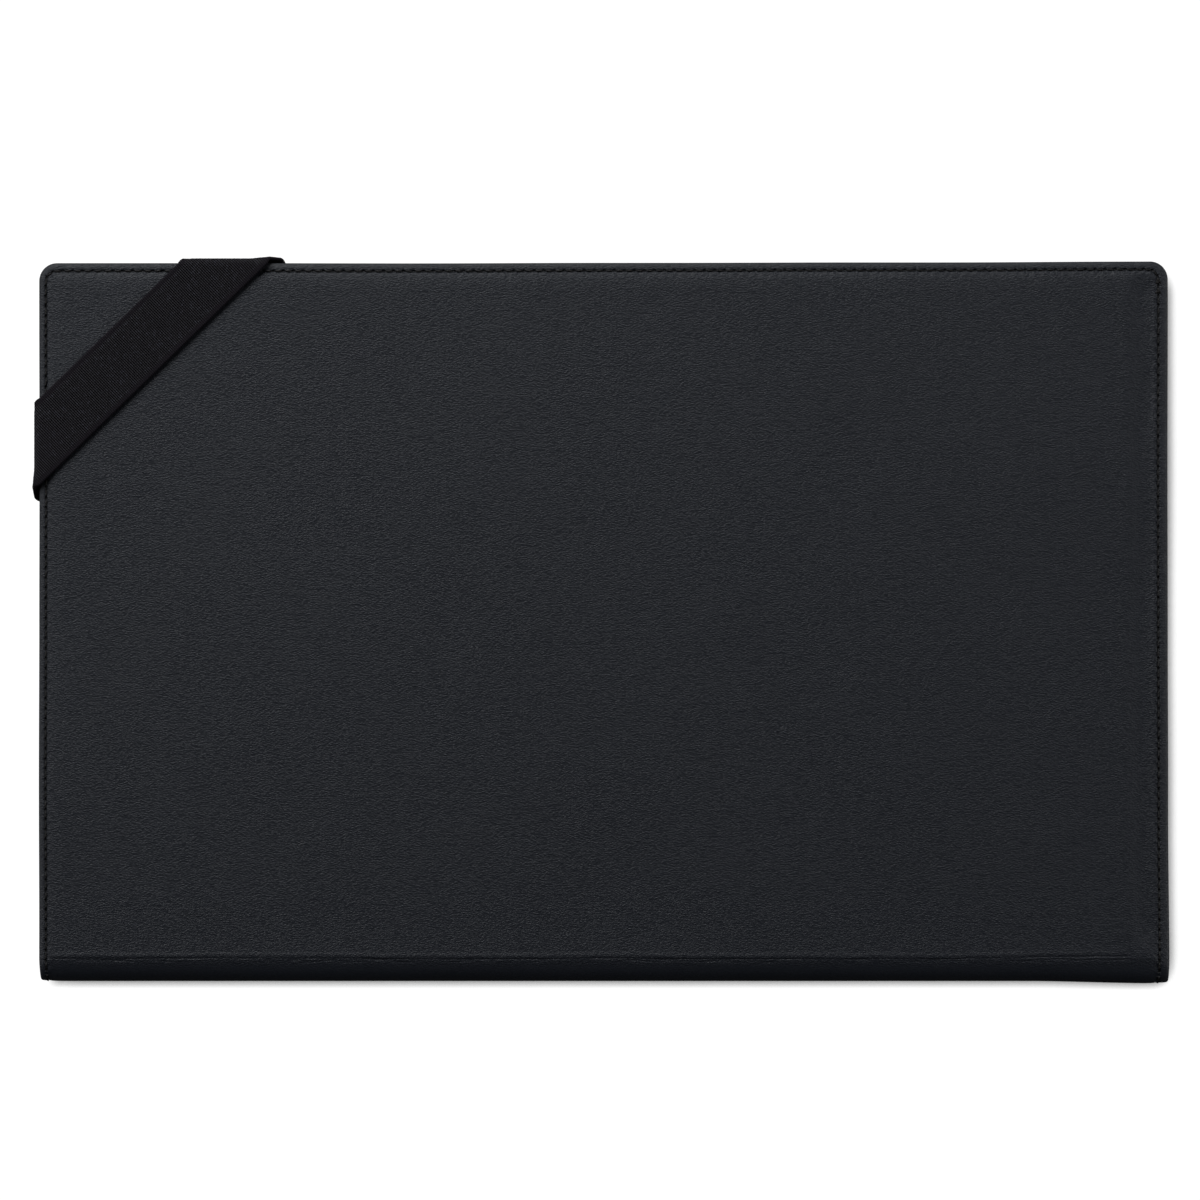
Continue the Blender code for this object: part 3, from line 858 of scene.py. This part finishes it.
SLEEVE_END = FORE - SLEEVE_LOW.y
for side in (BACK, FRONT):
    rows = np.concatenate([even(RIM, FLAT - 2.0, 2.2), even(FLAT - 2.0, SPLIT, 0.35)[1:]])
    rows = np.append(rows, 2 * rows[-1] - rows[-2])
    lining = thin_skin(f"{side.name}_cover_lining", rows, side, lining_levels, LINING_CLOTH)
    side.blend(lining)
    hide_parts(f"{side.name}_lining", f"spine_lining_{side.name}")
    rows = np.concatenate([even(RIM, SLEEVE_END - 6.0, 2.0),
                           even(SLEEVE_END - 6.0, SLEEVE_END, 0.25)[1:], [SLEEVE_END + 0.1]])
    sleeve = thin_skin(f"{side.name}_pocket_sleeve", rows, side, sleeve_levels,
                       SLEEVE_LEATHER)
    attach(sleeve, side.name)
    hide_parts(f"{side.name}_sleeve")
spine_lining = thin_skin("spine_roll_lining", roll_rows(), None, lining_levels, LINING_CLOTH)
blend_roll(spine_lining)


# -------------------- padding and boards

def crowned_pad(side):
    """Foam between the leather and the board, thinner towards its edges."""
    x, along = np.meshgrid(even(PAD_LOW.x, PAD_HIGH.x, 3.0),
                           even(FORE - PAD_HIGH.y, FORE - PAD_LOW.y, 3.0))
    to_edge = np.minimum(np.minimum(x - PAD_LOW.x, PAD_HIGH.x - x),
                         np.minimum(along - FORE + PAD_HIGH.y, FORE - PAD_LOW.y - along))
    crown = 0.25 * (1.0 - smooth(to_edge / 5.0)) + 0.03 * ripple(x, along, 9.0, side.seed)
    outer = place(x, along, PAD_LOW.z + np.abs(crown), side)
    inner = place(x, along, np.full_like(x, PAD_HIGH.z), side)
    pad = shell(f"{side.name}_foam_pad", outer, inner, outward_normals(outer, inner), FOAM,
                np.stack([x, along], axis=-1))
    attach(pad, side.name)
    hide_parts(f"{side.name}_padding")


for side in (BACK, FRONT):
    crowned_pad(side)
    frame["nodes"][f"{side.name}_board"].material_slots[0].material = BOARD


# -------------------- stitches

def unit(vectors):
    """Vectors of length 1."""
    return vectors / np.linalg.norm(vectors, axis=-1, keepdims=True)


def thread_mesh(name, starts, ends, up, slants, dip):
    """Short lengths of two-ply thread that dive into the leather at both ends."""
    t = np.array([-1.0, -0.93, -0.78, -0.5, -0.17, 0.17, 0.5, 0.78, 0.93, 1.0])[:, None]
    around = np.linspace(0.0, 2 * math.pi, 10, endpoint=False)[None, :]
    radius = THREAD_RADIUS * (1.0 - 0.35 * t ** 8) * (0.93 + 0.10 * np.cos(2 * around + 5.0 * t))
    height = 0.05 - dip * t ** 6 + radius * np.sin(around)
    sideways = radius * np.cos(around)
    middle, axis = (starts + ends) / 2, (ends - starts) / 2
    lateral = unit(np.cross(axis, up))
    shape = (slice(None), None, None, slice(None))
    points = (middle[shape] + axis[shape] * t[None, :, :, None]
              + up[shape] * height[None, :, :, None]
              + lateral[shape] * (sideways[None] + slants[:, None, None] * t[None])[..., None])
    count, rings, sides = points.shape[:3]
    tube = tube_faces(rings, sides, flip=True)
    faces = [[corner + piece * rings * sides for corner in face]
             for piece in range(count) for face in tube]
    length = np.linalg.norm(axis, axis=1)[:, None, None]
    uv = np.stack(np.broadcast_arrays(length * t[None] + np.arange(count)[:, None, None] * 1.7,
                                      around[None] / (2 * math.pi) + 0 * length), axis=-1)
    return make_piece(name, points.reshape(-1, 3), faces, THREAD,
                      uv.reshape(-1, 2))


def seam_spot(tail, stitch):
    """X and `along` on the seam, a number of stitches past a fore-edge corner.

    Above 0 the seam runs along the fore edge, below 0 it runs down the end.
    """
    number = np.abs(stitch)
    pitch = np.where(stitch > 0, FORE_PITCH, SIDE_PITCH)
    straight = RIM - SEAM_INSET + (number - 1.5) * pitch
    beyond = np.where(number < 1.5, (RIM - SEAM_INSET) * number / 1.5, straight)
    own, other = round_corner(np.full_like(beyond, SEAM_INSET), beyond)
    end = np.where(stitch > 0, other, own)
    along = np.where(stitch > 0, own, other)
    set_in = end + seam_shift(SEAM_INSET, end, TAIL_SEAM_SHIFT)
    x = np.where(tail, TAIL - set_in, HEAD + end)
    return x, along + seam_shift(SEAM_INSET, along, FORE_SEAM_SHIFT)


VISIBLE = 0.36              # half of the visible part of a stitch, in stitches
BACKTACK = (1.0, 2.0)       # stitches below the tail's fore corner that are crossed over


def panel_stitches():
    """Middle of each stitch round one panel: which end, place, side step and slant."""
    fore = np.arange(1, FORE_GAPS // 4 + 2)
    down = -np.arange(0, int((SPLIT - RIM) / SIDE_PITCH + 2))
    rows = [(tail, place_no, 0.0, 0.07) for tail in (0, 1) for place_no in (*down, *fore)]
    rows += [(1, -place_no, step, -0.34 * np.sign(step)) for place_no in BACKTACK
             for step in (-0.2, 0.2)]
    return np.array(rows, dtype=float)


def inner_depth(along):
    """Depth of the inside surface that the seam's threads lie on."""
    return np.where(along < SLEEVE_END + 0.5, SLEEVE_HIGH.z, LINING_HIGH.z)


def sew(name, tail, places, steps, slants, side, inside):
    """The stitches of a seam on the outer or the inner face."""
    side = side or BACK
    chance = np.random.default_rng(len(name) + 5)
    tail = tail > 0
    ends, ups = [], []
    for sign in (-1, 1):
        x, along = seam_spot(tail, places + sign * VISIBLE)
        depth = inner_depth(along) if inside else np.full_like(x, GROOVE_DEPTH - 0.13)
        ends.append(place(x, along, depth, side))
        ups.append(place(x, along, depth + (0.1 if inside else -0.1), side) - ends[-1])
    up = unit(ups[0] + ups[1])
    lateral = unit(np.cross(ends[1] - ends[0], up)) * steps[:, None]
    slants = slants + chance.normal(0.0, 0.018, len(slants))
    return thread_mesh(name, ends[0] + lateral, ends[1] + lateral, up, slants, 0.32)


def sew_panel(side):
    """Both faces of one panel's seam, up to its share of the spine."""
    tail, places, steps, slants = panel_stitches().T
    _, along = seam_spot(tail > 0, places)
    keep = along < SPLIT
    chosen = (tail[keep], places[keep], steps[keep], slants[keep])
    outside = sew(f"{side.name}_seam_stitches", *chosen, side, inside=False)
    inside = sew(f"{side.name}_inner_stitches", *chosen, side, inside=True)
    side.blend(outside)
    side.blend(inside)
    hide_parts(f"{side.name}_seam_thread", f"spine_thread_head_{side.name}",
                f"spine_thread_tail_{side.name}")


def sew_roll():
    """The seam's stitches over the middle of the spine at both ends."""
    first = math.ceil((SPLIT - RIM) / SIDE_PITCH + 1.5)
    places = np.arange(first, (FAR_SPLIT - RIM) / SIDE_PITCH + 1.5)
    tail = np.repeat([0.0, 1.0], len(places))
    places = -np.tile(places, 2)
    still = np.zeros(len(places))
    for name, inside in (("spine_seam_stitches", False), ("spine_inner_stitches", True)):
        blend_roll(sew(name, tail, places, still, still + 0.07, None, inside))


def sew_hem(side):
    """The hem stitching along the sleeve's mouth."""
    count = int((HEM_HIGH.x - HEM_LOW.x) / FORE_PITCH)
    middle = (np.arange(count) - (count - 1) / 2) * FORE_PITCH
    along = np.full(count, FORE - HEM_LOW.y - THREAD_RADIUS)
    depth = np.full(count, SLEEVE_HIGH.z + 0.14)
    starts = place(middle - VISIBLE * FORE_PITCH, along, depth, side)
    ends = place(middle + VISIBLE * FORE_PITCH, along, depth, side)
    up = unit(place(middle, along, depth + 0.1, side) - place(middle, along, depth, side))
    hem = thread_mesh(f"{side.name}_hem_stitches", starts, ends, up,
                      np.full(count, 0.05), 0.3)
    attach(hem, side.name)
    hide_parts(f"{side.name}_hem_thread")


for side in (BACK, FRONT):
    sew_panel(side)
    sew_hem(side)
sew_roll()


# -------------------- elastic band

TUCK_LOW, TUCK_HIGH = box_mm("band_end_head")
TOP_LEVEL = box_mm("elastic_band")[1].z - BAND_THICKNESS / 2
TUCK_LEVEL = TUCK_LOW.z + BAND_THICKNESS / 2
BAND_TUCK = TUCK_HIGH.x - HEAD
BAND_INSIDE = 0.3           # centres of the band's bends, in from the cover's edge
BAND_BEND = BAND_INSIDE + BAND_GAP + BAND_THICKNESS / 2
BAND_ARC = BAND_BEND * math.pi / 2
BAND_DROP = TOP_LEVEL - TUCK_LEVEL - 2 * BAND_BEND
BAND_TURNED = 2 * BAND_ARC + BAND_DROP
BAND_LAST = BAND_TURNED + BAND_TUCK - BAND_INSIDE
SLANT = math.tan(BAND_ANGLE)
ALONG_BAND = np.array([math.cos(BAND_ANGLE), math.sin(BAND_ANGLE)])
ACROSS_BAND = np.array([-math.sin(BAND_ANGLE), math.cos(BAND_ANGLE)])
BAND_START = np.array([HEAD, FORE - BAND_REACH / math.cos(BAND_ANGLE)])
BAND_LENGTH = BAND_REACH / (math.sin(BAND_ANGLE) * math.cos(BAND_ANGLE))


def fold(past):
    """The band's middle surface, `past` the start of its bend over the cover's edge.

    Gives how far outside the edge it runs, its level, and its normal in those directions.
    """
    first = np.clip(past, 0.0, BAND_ARC) / BAND_BEND
    second = np.clip(past - BAND_ARC - BAND_DROP, 0.0, BAND_ARC) / BAND_BEND
    turn = first + second
    outside = np.where(past > 0, BAND_BEND * np.sin(turn), past) - BAND_INSIDE
    outside = outside - np.maximum(past - BAND_TURNED, 0.0)
    level = TOP_LEVEL - BAND_BEND * (1 - np.cos(first)) - BAND_BEND * np.sin(second)
    level = level - np.clip(past - BAND_ARC, 0.0, BAND_DROP)
    return outside, level, np.sin(turn), np.cos(turn)


def over_edge(flat, at_head, height=0.0, flare=0.0):
    """Carry points of the band laid flat over the cover's edge, `height` off its middle."""
    past = (HEAD - flat[..., 0] if at_head else flat[..., 1] - FORE) + BAND_INSIDE
    outside, level, lean, upright = fold(past)
    outside = outside + lean * (height + flare)
    back = (1 - BAND_STEEPER) * np.maximum(past, 0.0)
    x = HEAD - outside if at_head else flat[..., 0] - back / SLANT
    y = flat[..., 1] + back * SLANT if at_head else FORE + outside
    return np.stack([x, y, level + upright * height], axis=-1)


def band_section():
    """Points round the band's section: place across it, face, half thickness, share of rib.

    The face is 1 on the outside of the band and -1 on its inside.
    """
    half = BAND_WIDTH / 2
    across = np.concatenate([[-1.0, -0.992, -0.965], np.linspace(-0.93, 0.93, 21),
                             [0.965, 0.992, 1.0]]) * half
    edge = half - np.abs(across)
    thick = BAND_THICKNESS / 2 * np.sqrt(np.clip(edge / 0.2, 0.05, 1.0))
    thick = thick - 0.06 * bell(edge - 0.95, 0.14)
    ribbed = smooth((edge - 0.75) / 0.3)
    face = np.repeat([1.0, -1.0], len(across))
    across, thick, ribbed = (np.append(one, one[::-1]) for one in (across, thick, ribbed))
    return across, face, thick, ribbed


def band_half(name, at_head):
    """Half of the band: from the middle of the strap, over an edge, to its sewn end."""
    across, face, thick, ribbed = band_section()
    axis, toward = (0, -1.0) if at_head else (1, 1.0)
    slanted = BAND_LAST - BAND_INSIDE - toward * ACROSS_BAND[axis] * across
    reach = BAND_LENGTH / 2 + slanted / ALONG_BAND[axis]
    steps = np.arange(0.0, reach.max() + RIB, RIB / 4)
    run = np.minimum(steps[:, None], reach[None, :])
    rib = np.cos(2 * math.pi * run / RIB)
    height = face * (thick + 0.04 * rib * ribbed + 0.015 * rib)
    flat = (BAND_START + ALONG_BAND * (BAND_LENGTH / 2 + toward * run[..., None])
            + ACROSS_BAND * across[None, :, None])
    flare = BAND_FLARE * smooth((-across - 3.0) / 3.1)
    points = over_edge(flat, at_head, height, flare)
    uv = np.stack([run, np.broadcast_to(across, run.shape)], axis=-1)
    piece = make_piece(name, points.reshape(-1, 3), tube_faces(*run.shape, flip=not at_head),
                       ELASTIC, uv.reshape(-1, 2))
    close_up(piece)
    return piece


def close_up(piece):
    """Merge the points that were held back at the cut end and turn every face outwards."""
    mesh = bmesh.new()
    mesh.from_mesh(piece.data)
    bmesh.ops.remove_doubles(mesh, verts=mesh.verts, dist=2e-6)
    bmesh.ops.dissolve_degenerate(mesh, edges=mesh.edges, dist=1e-7)
    bmesh.ops.recalc_face_normals(mesh, faces=mesh.faces)
    mesh.to_mesh(piece.data)
    mesh.free()
    piece.data.set_sharp_from_angle(angle=math.radians(55))


for at_head, name, node in ((True, "elastic_strap_head", "band_end_head"),
                            (False, "elastic_strap_fore", "band_end_fore")):
    strap = band_half(name, at_head)
    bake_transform(strap)
    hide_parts(node, "elastic_band")


# -------------------- stage, light and camera

FRAME_WIDTH = 233.3         # width of the picture at the front cover's face
FRAME_MIDDLE = (-0.8, 4.4)
LENS = 140.0
SENSOR = 36.0
SHADOW_REACH = 0.004        # metres
TO_LIGHT = (-0.66, 0.69, 0.29)
FLOOR_HALF = 3.0            # metres
FLOOR_GAP = 0.0003          # metres under the object


def make_floor():
    """A washed-out pale floor: only the closest shadow, away from the light, stays visible."""
    look = Look("stage_floor")
    seen = look.node("LightPath").outputs["Is Camera Ray"]
    to_light = look.node("CombineXYZ", dict(enumerate(TO_LIGHT))).outputs[0]
    open_sky = look.node("AmbientOcclusion", {"Distance": SHADOW_REACH, "Normal": to_light},
                         samples=24)
    glow = look.maths("MULTIPLY", seen, look.range(open_sky.outputs["AO"], 0.57, 0.86,
                                                   0.02, 1.02))
    coords = look.node("TexCoord").outputs["Object"]
    paper = look.noise(coords, 900.0, 2.0)
    look.finish((0.06, 0.06, 0.06, 1.0), 0.9, look.bump(paper, 0.02, 0.2),
                **{"Emission Strength": glow, "Emission Color": (1.0, 1.0, 1.0, 1.0)})
    mesh = bpy.data.meshes.new("stage_floor")
    corners = ((-1, -1), (1, -1), (1, 1), (-1, 1))
    mesh.from_pydata([(x * FLOOR_HALF, y * FLOOR_HALF, 0.0) for x, y in corners],
                     [], [(0, 1, 2, 3)])
    mesh.materials.append(look.material)
    floor = bpy.data.objects.new("stage_floor", mesh)
    floor.location.z = -FLOOR_GAP
    bpy.context.scene.collection.objects.link(floor)


def add_softbox(name, location, size, power):
    """A rectangular light aimed at the object."""
    light = bpy.data.lights.new(name, "AREA")
    light.shape = "RECTANGLE"
    light.size, light.size_y = size
    light.energy = power
    light.color = (0.97, 0.985, 1.0)
    lamp = bpy.data.objects.new(name, light)
    lamp.location = location
    lamp.rotation_euler = (-Vector(location)).to_track_quat("-Z", "Y").to_euler()
    bpy.context.scene.collection.objects.link(lamp)


def light_the_stage():
    """Big soft light from the fore edge, weaker ones from both ends, a pale room."""
    add_softbox("key_softbox", (-0.25, 0.75, 0.56), (0.9, 0.5), 9.8)
    add_softbox("head_softbox", (-1.05, 0.1, 0.50), (0.6, 1.0), 4.0)
    add_softbox("tail_softbox", (1.05, 0.0, 0.36), (0.4, 0.9), 5.3)
    world = bpy.data.worlds.new("pale_room")
    world.use_nodes = True
    room = Nodes(world.node_tree)
    around = room.split(room.node("TexCoord").outputs["Generated"])
    light = room.range(around[1], -0.6, 0.8, 0.02, 0.12)
    seen = room.node("LightPath").outputs["Is Camera Ray"]
    background = room.tree.nodes["Background"].inputs
    room.feed(background["Color"], (0.97, 0.975, 1.0, 1.0))
    room.feed(background["Strength"], room.range(seen, 0.0, 1.0, light, 1.0))
    bpy.context.scene.world = world


def add_camera():
    """Look straight down, as the photograph does."""
    camera = bpy.data.cameras.new("camera")
    camera.lens, camera.sensor_width = LENS, SENSOR
    item = bpy.data.objects.new("camera", camera)
    distance = FRAME_WIDTH * LENS / SENSOR
    item.location = Vector((*FRAME_MIDDLE, TOP + distance)) / 1000
    bpy.context.scene.collection.objects.link(item)
    bpy.context.scene.camera = item


make_floor()
light_the_stage()
add_camera()
bpy.context.scene.view_settings.view_transform = "Standard"
